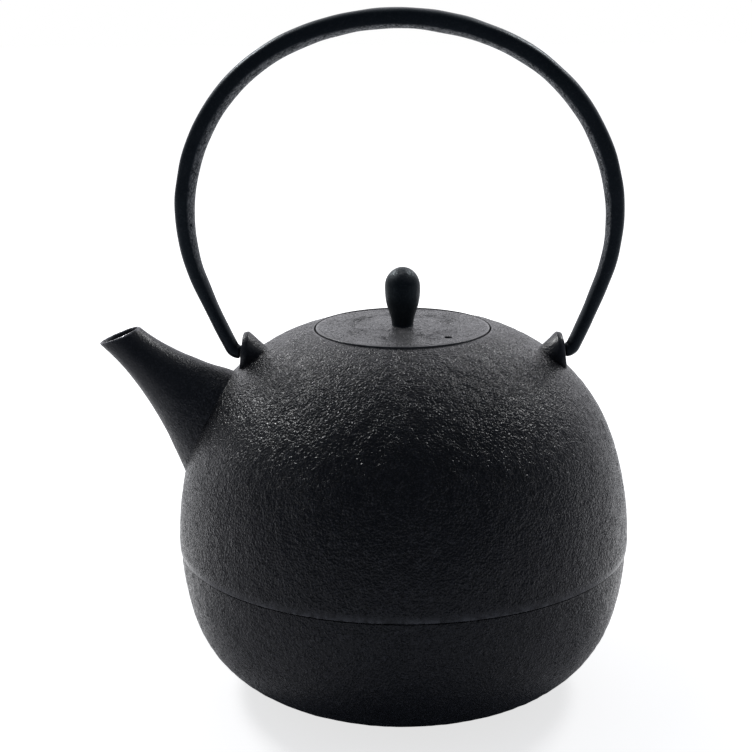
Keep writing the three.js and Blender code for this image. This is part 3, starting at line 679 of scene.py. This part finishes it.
def bail():
    """The whole bar with slightly rounded end faces, and a pin on each end. The legs are nearly
    oval and the arch is flatter. The left leg is twisted a little, so that more of the inner
    face shows. That face is marked as deep-grained where the bar is flat, and its edge mark
    paints it paler, partly as a painted reflection of the pale floor."""
    place, heading = bail_line()
    x = np.concatenate([place[:, 0], -place[-2::-1, 0]])
    z = np.concatenate([place[:, 1], place[-2::-1, 1]])
    turn = np.concatenate([heading, 2 * math.pi - heading[-2::-1]])
    rise = np.clip((z - PIN_HEIGHT) / (place[-1, 1] - PIN_HEIGHT), 0, 1)
    swell = smooth_step(0, BAIL_SWELL_SHARE, rise)
    thick = BAIL_LEG_THICKNESS + (BAIL_CROWN_THICKNESS - BAIL_LEG_THICKNESS) * swell
    deep = BAIL_LEG_DEPTH + (BAIL_CROWN_DEPTH - BAIL_LEG_DEPTH) * swell
    leg_u, leg_v, on_inner_face = bail_section(BAIL_LEG_ROUNDNESS, BAIL_LEG_INNER_SHARE)
    flat_u, flat_v, _ = bail_section(BAIL_ROUNDNESS, BAIL_INNER_FACE_SHARE)
    flatness = smooth_step(0.02, 0.5, rise)
    u = thick[:, None] * (leg_u + (flat_u - leg_u) * flatness[:, None])
    v = deep[:, None] * (leg_v + (flat_v - leg_v) * flatness[:, None])
    twist = np.radians(BAIL_LEFT_TWIST) * smooth_step(0, 50, -x) * smooth_step(0, 0.25, rise)
    u, v = (
        u * np.cos(twist)[:, None] - v * np.sin(twist)[:, None],
        u * np.sin(twist)[:, None] + v * np.cos(twist)[:, None],
    )
    bar = np.stack([
        (x - BAIL_CROWN_SHIFT * rise)[:, None] + np.sin(turn)[:, None] * u,
        v,
        z[:, None] - np.cos(turn)[:, None] * u,
    ], axis=2)
    worn = relief(bar, 9, 20, seed=51) * 0.05 * smooth_step(0.02, 0.12, rise)[:, None]
    bar = push_out(bar, worn)
    caps = []
    for ring in (bar[0], bar[-1]):
        middle = ring.mean(axis=0)
        caps.append(np.stack([middle + 0 * ring, middle + (ring - middle) * BAIL_END_SHARE]))
    bar[0] += [BAIL_END_DOME, 0, 0]
    bar[-1] -= [BAIL_END_DOME, 0, 0]
    bar = np.concatenate([caps[0], bar, caps[1][::-1]])
    r, chamfer = PIN_RADIUS, 0.45
    rod = around(np.array([
        [0, PIN_TIP_REACH], [r - chamfer, PIN_TIP_REACH], [r, PIN_TIP_REACH + chamfer],
        [r, BAIL_END_REACH - 0.5], [r, BAIL_END_REACH + 1.2], [0, BAIL_END_REACH + 1.2]]), 40)
    pins = [on_pin_line(rod, side) for side in (1, -1)]
    rough_rows = np.concatenate([[0, 0], smooth_step(0.14, 0.42, rise), [0, 0]])
    on_bar = (rough_rows[:, None] * on_inner_face).ravel()
    band = np.concatenate([on_bar, np.zeros(2 * rod[..., 0].size)])
    # The inner face's edge mark paints it paler: a rough grey face with the pale floor's painted
    # reflection
    marks = {"depth": 0.12 + 0.88 * band, "edge": 0.9 * band}
    return mesh_piece("bail", [(grid, False) for grid in (bar, *pins)], crease=30, marks=marks)


# Nodes

def add(tree, kind, links=None, **settings):
    """A node with its settings, and with each named or numbered input linked or set."""
    made = tree.nodes.new(kind)
    for name, value in settings.items():
        setattr(made, name, value)
    for name, value in (links or {}).items():
        if isinstance(value, bpy.types.NodeSocket):
            tree.links.new(value, made.inputs[name])
        else:
            made.inputs[name].default_value = value
    return made


def cleared_tree(holder):
    """The empty node tree of a material or world."""
    holder.use_nodes = True
    holder.node_tree.nodes.clear()
    return holder.node_tree


def math_node(tree, operation, *values):
    """What one Math node makes of the values."""
    return add(tree, "ShaderNodeMath", dict(enumerate(values)), operation=operation).outputs[0]


def mix_value(tree, share, first, second):
    """The first value where share is 0 and the second where it is 1."""
    return add(tree, "ShaderNodeMix", {0: share, 2: first, 3: second}).outputs[0]


def mix_colour(tree, share, first, second):
    """The first colour where share is 0 and the second where it is 1."""
    return add(tree, "ShaderNodeMix", {0: share, 6: first, 7: second}, data_type="RGBA").outputs[2]


def times(tree, first, second):
    """first * second."""
    return math_node(tree, "MULTIPLY", first, second)


def times_plus(tree, first, second, third):
    """first * second + third."""
    return math_node(tree, "MULTIPLY_ADD", first, second, third)


def remap(tree, value, low, high, to_low=0.0, to_high=1.0):
    """Carries low to to_low and high to to_high in a straight line, and holds them outside."""
    links = {"Value": value, "From Min": low, "From Max": high, "To Min": to_low, "To Max": to_high}
    return add(tree, "ShaderNodeMapRange", links).outputs["Result"]


def noise(tree, vector, scale, detail, roughness, distortion):
    """A noise texture's value, which stays around 0.5."""
    links = {
        "Vector": vector, "Scale": scale, "Detail": detail,
        "Roughness": roughness, "Distortion": distortion,
    }
    return add(tree, "ShaderNodeTexNoise", links).outputs["Fac"]


def new_group(name, inputs, outputs):
    """A shader node group with named float, vector or colour sockets."""
    kinds = {"value": "NodeSocketFloat", "vector": "NodeSocketVector", "colour": "NodeSocketColor"}
    tree = bpy.data.node_groups.new(name, "ShaderNodeTree")
    for label, kind in inputs:
        tree.interface.new_socket(label, in_out="INPUT", socket_type=kinds[kind])
    for label, kind in outputs:
        tree.interface.new_socket(label, in_out="OUTPUT", socket_type=kinds[kind])
    return tree, tree.nodes.new("NodeGroupInput").outputs, tree.nodes.new("NodeGroupOutput")


def cast_grain_group():
    """The skin that moulding sand leaves: grains, short wavy wrinkles and small pits, deeper
    in some patches than in others. Pits also marks where shade is painted into the pits, and
    Highlight Tops where the grains' tops are painted pale as highlights."""
    tree, given, result = new_group(
        "cast grain",
        [("Vector", "vector"), ("Grain Scale", "value"), ("Wrinkles", "value"), ("Depth", "value")],
        [("Height", "value"), ("Pits", "value"), ("Highlight Tops", "value")],
    )
    vector, scale = given["Vector"], given["Grain Scale"]
    grain = noise(tree, vector, scale, 1.0, 0.5, 0.3)
    clump = noise(tree, vector, times(tree, scale, 0.55), 1.0, 0.5, 0.8)
    wave = noise(tree, vector, times(tree, scale, 0.3), 1.0, 0.5, 1.4)
    ridge = math_node(tree, "ABSOLUTE", math_node(tree, "SUBTRACT", wave, 0.5))
    ridge = remap(tree, ridge, 0.0, 0.16, 1.0, 0.0)
    cells = add(
        tree, "ShaderNodeTexVoronoi", {"Vector": vector, "Scale": times(tree, scale, 0.8)})
    bead = remap(tree, cells.outputs["Distance"], 0.15, 0.65, 1.0, 0.0)
    height = times(tree, grain, 0.55)
    height = times_plus(tree, clump, 0.5, height)
    height = times_plus(tree, bead, 0.28, height)
    height = times_plus(tree, times(tree, ridge, given["Wrinkles"]), 0.35, height)
    mottle = noise(tree, vector, times(tree, scale, 0.14), 2.0, 0.6, 0.6)
    strength = times(tree, remap(tree, mottle, 0.36, 0.64, 0.78, 1.28), given["Depth"])
    # The grains' tops, which the materials paint pale as highlights
    highlight_tops = times_plus(tree, clump, 0.35, times(tree, grain, 0.65))
    for label, value in (
        ("Height", height),
        ("Pits", remap(tree, grain, 0.5, 0.3)),
        ("Highlight Tops", remap(tree, highlight_tops, 0.5, 0.68)),
    ):
        tree.links.new(times(tree, value, strength), result.inputs[label])
    return tree


def patchy_group():
    """Slow, soft patches where the blackening took differently."""
    tree, given, result = new_group("patchy finish", [("Vector", "vector")], [("Patches", "value")])
    broad = noise(tree, given["Vector"], 34.0, 3.0, 0.55, 0.6)
    fine = noise(tree, given["Vector"], 190.0, 2.0, 0.5, 0.5)
    patches = times_plus(tree, broad, 0.6, times(tree, fine, 0.4))
    tree.links.new(remap(tree, patches, 0.36, 0.64), result.inputs["Patches"])
    return tree


def wear_and_sheen_group():
    """Where an edge has been rubbed, and where the knob's cap and the bail's inner face get a
    painted highlight and reflection: the painted edge mask, broken up by noise.
    """
    tree, given, result = new_group(
        "wear and sheen", [("Vector", "vector"), ("Edge", "value")], [("Wear And Sheen", "value")])
    broken = noise(tree, given["Vector"], 420.0, 3.0, 0.6, 0.3)
    wear_and_sheen = times(tree, given["Edge"], remap(tree, broken, 0.35, 0.62))
    tree.links.new(wear_and_sheen, result.inputs["Wear And Sheen"])
    return tree


cast_grain = cast_grain_group()
patchy = patchy_group()
wear_and_sheen_edges = wear_and_sheen_group()


def iron(name, dark, light, highlight_tops, worn, roughness, grain_scale, wrinkles, bump,
         tint=(1, 1, 1), bare=0.0, own_depth=None):
    """Black iron: patches between two colours, painted shade in the pits, painted highlights on
    the tops of the grains, rubbed edges, as bare metal as bare says, and a grainy bump. The
    blackening tints the gloss. The vertex attributes edge and depth say where it is rubbed and
    how deep its grain is, and own_depth, where it is given, stands in for depth. On the knob's
    cap the edge mark also paints a highlight, and on the bail's inner face a reflection."""
    material = bpy.data.materials.new(name)
    tree = cleared_tree(material)
    place = add(tree, "ShaderNodeTexCoord").outputs["Object"]
    edge = add(tree, "ShaderNodeAttribute", attribute_name="edge").outputs["Fac"]
    depth = own_depth
    if depth is None:
        depth = add(tree, "ShaderNodeAttribute", attribute_name="depth").outputs["Fac"]

    def group(node_tree, links):
        return add(tree, "ShaderNodeGroup", {"Vector": place, **links}, node_tree=node_tree).outputs

    grain = group(cast_grain, {"Grain Scale": grain_scale, "Wrinkles": wrinkles, "Depth": depth})
    patch = group(patchy, {})["Patches"]
    wear_and_sheen = group(wear_and_sheen_edges, {"Edge": edge})["Wear And Sheen"]
    # Painted shade darkens the pits, and painted highlights pale the grains' tops
    pit_shade_colour = [0.4 * part for part in dark]
    colour = mix_colour(tree, patch, (*dark, 1), (*light, 1))
    colour = mix_colour(tree, times(tree, grain["Pits"], 0.7), colour, (*pit_shade_colour, 1))
    colour = mix_colour(tree, grain["Highlight Tops"], colour, (*highlight_tops, 1))
    # The worn colour goes on rubbed edges, and also paints a highlight on the knob's cap and a
    # reflection on the bail's inner face
    colour = mix_colour(tree, wear_and_sheen, colour, (*worn, 1))
    rough = mix_value(tree, patch, roughness[0], roughness[1])
    rough = times_plus(tree, grain["Pits"], 0.45, rough)
    rough = times_plus(tree, wear_and_sheen, -0.1, rough)
    grainy = add(tree, "ShaderNodeBump", {
        "Height": grain["Height"], "Strength": 1.0, "Distance": bump * MM}).outputs["Normal"]
    shader = add(tree, "ShaderNodeBsdfPrincipled", {
        "Base Color": colour, "Roughness": rough, "Normal": grainy,
        "Metallic": times(tree, wear_and_sheen, bare) if bare else 0.0,
        "Specular IOR Level": 0.5, "Specular Tint": (*tint, 1),
    })
    add(tree, "ShaderNodeOutputMaterial", {"Surface": shader.outputs["BSDF"]})
    return material


sand_skin = iron(
    "sand-cast black iron", dark=(0.0042, 0.0044, 0.0060), light=(0.0076, 0.0079, 0.0102),
    highlight_tops=(0.038, 0.0385, 0.044), worn=(0.095, 0.096, 0.104), roughness=(0.175, 0.225),
    grain_scale=1450.0, wrinkles=0.5, bump=0.43)
# Paler than the body's iron: this paleness paints in light on the spout's and ears' sides
spout_skin = iron(
    "smoother cast iron", dark=(0.018, 0.020, 0.024), light=(0.026, 0.028, 0.033),
    highlight_tops=(0.090, 0.091, 0.098), worn=(0.36, 0.36, 0.37), roughness=(0.31, 0.39),
    grain_scale=1600.0, wrinkles=0.5, bump=0.36, bare=0.9)
# Far paler than the body's iron: the lid's grey is in part a painted reflection of the pale backdrop
# on its near-level top
lid_skin = iron(
    "lid iron", dark=(0.063, 0.063, 0.066), light=(0.098, 0.098, 0.102),
    highlight_tops=(0.20, 0.20, 0.206), worn=(0.24, 0.24, 0.245), roughness=(0.19, 0.26),
    grain_scale=1600.0, wrinkles=0.7, bump=0.30)
smooth_black = iron(
    "smooth black iron", dark=(0.0050, 0.0072, 0.0085), light=(0.0075, 0.0102, 0.0120),
    highlight_tops=(0.05, 0.052, 0.054), worn=(0.14, 0.142, 0.146), roughness=(0.38, 0.46),
    grain_scale=1500.0, wrinkles=0.2, bump=0.16, tint=(0.75, 0.92, 1))
bail_skin = iron(
    "bail iron", dark=(0.0080, 0.0106, 0.0131), light=(0.0120, 0.0150, 0.0182),
    highlight_tops=(0.13, 0.132, 0.136), worn=(0.21, 0.212, 0.218), roughness=(0.36, 0.44),
    grain_scale=1400.0, wrinkles=0.3, bump=0.46, tint=(0.75, 0.9, 1))
hollow_skin = iron(
    "iron oxide inside", dark=(0.022, 0.0205, 0.020), light=(0.040, 0.036, 0.033),
    highlight_tops=(0.06, 0.052, 0.047), worn=(0.06, 0.052, 0.047), roughness=(0.62, 0.78),
    grain_scale=1100.0, wrinkles=0.6, bump=0.24, own_depth=1.0)
washer_skin = iron(
    "plain dark iron", dark=(0.016, 0.016, 0.0165), light=(0.030, 0.0295, 0.029),
    highlight_tops=(0.05, 0.05, 0.05), worn=(0.06, 0.06, 0.06), roughness=(0.42, 0.55),
    grain_scale=1600.0, wrinkles=0.2, bump=0.08, own_depth=0.6)


# Pieces

def finish_with(piece, material):
    """Makes the material the piece's only one."""
    piece.data.materials.clear()
    piece.data.materials.append(material)


def dress(piece, material, body, slot, *nodes):
    """Gives a piece its finish, the CAD body it rides on and the nodes it stands for; slot is not
    used.
    """
    finish_with(piece, material)
    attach(piece, body)
    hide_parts(*nodes)


def line_inside(piece, material, is_inside):
    """Gives the faces whose centre is inside a second material."""
    piece.data.materials.append(material)
    flat = np.empty(len(piece.data.polygons) * 3)
    piece.data.polygons.foreach_get("center", flat)
    inside = is_inside(flat.reshape(-1, 3) / MM)
    piece.data.polygons.foreach_set("material_index", inside.astype(np.int32))


casting = casting_shell()
for cutter in (spout_hole(), pin_drill(1), pin_drill(-1)):
    cut_away(casting, cutter, crease=40)
places = vertex_places(casting)
radius, height = np.hypot(places[:, 0], places[:, 1]), places[:, 2]
over_belt = height - belt_height
# The belt's lip is painted smoother and paler, the rim is rubbed smooth and pale, and the bottom has
# no grain
lip_band = smooth_step(2.8, 1.3, over_belt) * smooth_step(-0.25, 0.0, over_belt)
rim_band = smooth_step(1.6, 0.2, radius - REBATE_RADIUS) * (height > ledge_height - 1)
paint(casting, "depth", (1 - 0.85 * lip_band) * (1 - 0.7 * rim_band) * smooth_step(0, 2, height))
belt_edge = crest(over_belt - 0.45, 0.35) * (radius > shell_belt_radius - 0.6)
rim_edge = crest(radius - REBATE_RADIUS - 0.25, 0.3) * (height > rim_height - 0.8)
paint(casting, "edge", 0.35 * belt_edge + 0.8 * lip_band + 0.4 * rim_edge)
dress(casting, sand_skin, "kettle", "body_iron", "kettle_body")
line_inside(casting, hollow_skin, lambda spot: over_skin(spot)[0] < -WALL * 0.6)

spout_piece = spout()
places = vertex_places(spout_piece)
# The spout's grain deepens towards its root, and its lip is worn
rootward = smooth_step(26, 1, over_skin(places)[0])
paint(spout_piece, "depth", 0.3 + 0.5 * rootward ** 1.4)
tilt = math.radians(LIP_TILT)
from_lip = (
    (places[:, 0] - LIP_TOP[0]) * math.sin(tilt) - (places[:, 2] - LIP_TOP[1]) * math.cos(tilt))
paint(spout_piece, "edge", smooth_step(0.8, 0.3, from_lip))
dress(spout_piece, spout_skin, "kettle", "body_iron", "kettle_body")

for name, side in (("ear_right", 1), ("ear_left", -1)):
    horn = ear(name, side)
    places = vertex_places(horn)
    reach = side * places[:, 0] + (places[:, 2] - PIN_HEIGHT) * math.tan(math.radians(EAR_FACE_LEAN))
    spread = np.hypot(places[:, 1], places[:, 2] - PIN_HEIGHT)
    # The face is worn along its edge, and the grain deepens behind it
    paint(horn, "edge", 0.25 * crest(spread - 6.6, 0.5) * (reach > EAR_FACE_REACH - 1.2))
    paint(horn, "depth", 0.22 + 0.28 * smooth_step(2, 6, EAR_FACE_REACH - reach))
    dress(horn, spout_skin, "kettle", "body_iron", "kettle_body")

plate = lid()
places = vertex_places(plate)
radius = np.hypot(places[:, 0], places[:, 1])
# The plate's grain fades at its edge, which is a little worn
paint(plate, "edge", 0.7 * crest(radius - LID_RADIUS + 0.3, 0.3) * (places[:, 2] > rim_height - 0.3))
paint(plate, "depth", smooth_step(0.3, 1.6, LID_RADIUS - radius) * 0.8 + 0.2)
dress(plate, lid_skin, "lid_set", "lid_iron", "lid")

handle_knob = knob()
places = vertex_places(handle_knob)
# The knob's cap is worn and painted paler as a highlight, and its grain shows there
worn_highlit_cap = smooth_step(KNOB_HEIGHT - 5, KNOB_HEIGHT - 0.5, places[:, 2] - lid_top)
paint(handle_knob, "edge", worn_highlit_cap)
paint(handle_knob, "depth", 0.3 + 0.6 * worn_highlit_cap)
dress(handle_knob, smooth_black, "lid_set", "knob_iron", "lid_knob")

finish_with(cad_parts["knob_washer"], washer_skin)

dress(bail(), bail_skin, "bail", "bail_iron", "bail_handle")


# Studio

def floor():
    """A large level sheet, a little below the kettle's base so that nothing flickers. To the
    camera it is pale and fades to white away from the kettle. What it throws back on the
    kettle is plain matt, darker in front, and gloss mirrors it bright behind."""
    half, low = 4.0, -0.00002
    mesh = bpy.data.meshes.new("floor")
    corners = [(-half, -half, low), (half, -half, low), (half, half, low), (-half, half, low)]
    mesh.from_pydata(corners, [], [(0, 1, 2, 3)])
    sheet = new_object("floor", mesh)
    material = bpy.data.materials.new("pale floor")
    tree = cleared_tree(material)
    path = add(tree, "ShaderNodeLightPath")
    pale = add(tree, "ShaderNodeBsdfDiffuse", {"Color": (0.78, 0.78, 0.79, 1)}).outputs[0]
    place = add(tree, "ShaderNodeTexCoord").outputs["Object"]
    parts = add(tree, "ShaderNodeSeparateXYZ", {0: place}).outputs
    across = math_node(tree, "ABSOLUTE", parts["X"])
    ahead = times_plus(tree, across, -0.6, times(tree, parts["Y"], -1.0))
    near, middle, far = (0.88, 0.88, 0.91, 1), (0.60, 0.62, 0.68, 1), (0.32, 0.34, 0.39, 1)
    bounce = mix_colour(tree, remap(tree, ahead, -0.02, 0.12), near, middle)
    bounce = mix_colour(tree, remap(tree, ahead, 0.1, 0.35), bounce, far)
    matt = add(tree, "ShaderNodeBsdfDiffuse", {"Color": bounce}).outputs[0]
    from_kettle = add(tree, "ShaderNodeVectorMath", {0: place}, operation="LENGTH").outputs["Value"]
    lift = remap(tree, from_kettle, 0.1, 0.5, 0.74, 1.0)
    glow = add(tree, "ShaderNodeEmission", {"Color": (1, 1, 1, 1), "Strength": lift}).outputs[0]
    bright = add(tree, "ShaderNodeAddShader", {0: pale, 1: glow}).outputs[0]
    outward = math_node(tree, "MAXIMUM", math_node(tree, "SUBTRACT", across, 0.08), 0.0)
    beyond = times_plus(tree, outward, -0.35, parts["Y"])
    behind = remap(tree, beyond, -0.02, 0.05)
    behind = times(tree, behind, remap(tree, from_kettle, 0.12, 0.35, 0.95, 0.36))
    mirrored = times(tree, path.outputs["Is Glossy Ray"], behind)
    seen = math_node(tree, "MAXIMUM", path.outputs["Is Camera Ray"], mirrored)
    shown = add(tree, "ShaderNodeMixShader", {0: seen, 1: matt, 2: bright}).outputs[0]
    add(tree, "ShaderNodeOutputMaterial", {"Surface": shown})
    mesh.materials.append(material)


def studio_world():
    """White to the camera. What lights the kettle is darker: dim on the side the photograph
    was taken from, brighter at the sides, behind and above."""
    world = bpy.data.worlds.new("studio")
    bpy.context.scene.world = world
    tree = cleared_tree(world)
    way = add(tree, "ShaderNodeTexCoord").outputs["Generated"]
    parts = add(tree, "ShaderNodeSeparateXYZ", {0: way}).outputs
    front = times(tree, parts["Y"], -1.0)
    dimmed = remap(tree, front, -0.85, 0.6)
    level = mix_value(tree, dimmed, 0.34, 0.08)
    path = add(tree, "ShaderNodeLightPath").outputs
    seen = path["Is Camera Ray"]
    backdrop = math_node(tree, "MAXIMUM", path["Is Glossy Ray"], path["Is Transmission Ray"])
    backdrop = times(tree, backdrop, remap(tree, parts["Y"], 0.45, 0.9))
    level = mix_value(tree, backdrop, level, 1.0)
    level = mix_value(tree, seen, level, 1.0)
    cool = mix_colour(tree, dimmed, (0.95, 0.945, 1, 1), (0.68, 0.79, 1, 1))
    cool = mix_colour(tree, seen, cool, (1, 1, 1, 1))
    light = add(tree, "ShaderNodeBackground", {"Color": cool, "Strength": level}).outputs[0]
    add(tree, "ShaderNodeOutputWorld", {"Surface": light})


def softbox(name, azimuth, elevation, watts, distance=1.1, width=0.26):
    """A square lamp aimed at the kettle. Azimuth 0 is the camera's side and 90 is the right."""
    a, e = math.radians(azimuth), math.radians(elevation)
    way = np.array([math.sin(a) * math.cos(e), -math.cos(a) * math.cos(e), math.sin(e)])
    lamp = bpy.data.lights.new(name, "AREA")
    lamp.shape = "SQUARE"
    lamp.size = width
    lamp.energy = watts
    holder = new_object(name, lamp)
    holder.location = way * distance + [0, 0, 0.1]
    holder.rotation_euler = (math.radians(90 - elevation), 0, math.radians(azimuth))


floor()
studio_world()
softbox("softbox_left", azimuth=-130, elevation=43, watts=4.5)
softbox("softbox_right", azimuth=130, elevation=45, watts=3.25)

eye = bpy.data.cameras.new("camera")
eye.lens = CAMERA_LENS
eye.sensor_width = CAMERA_SENSOR
eye.clip_start = 0.05
camera = new_object("camera", eye)
camera.location = CAMERA_PLACE
camera.rotation_mode = "ZYX"
camera.rotation_euler = (math.radians(90 - CAMERA_DOWN), 0, math.radians(CAMERA_TURN))
bpy.context.scene.camera = camera

bpy.context.scene.view_settings.view_transform = "Standard"
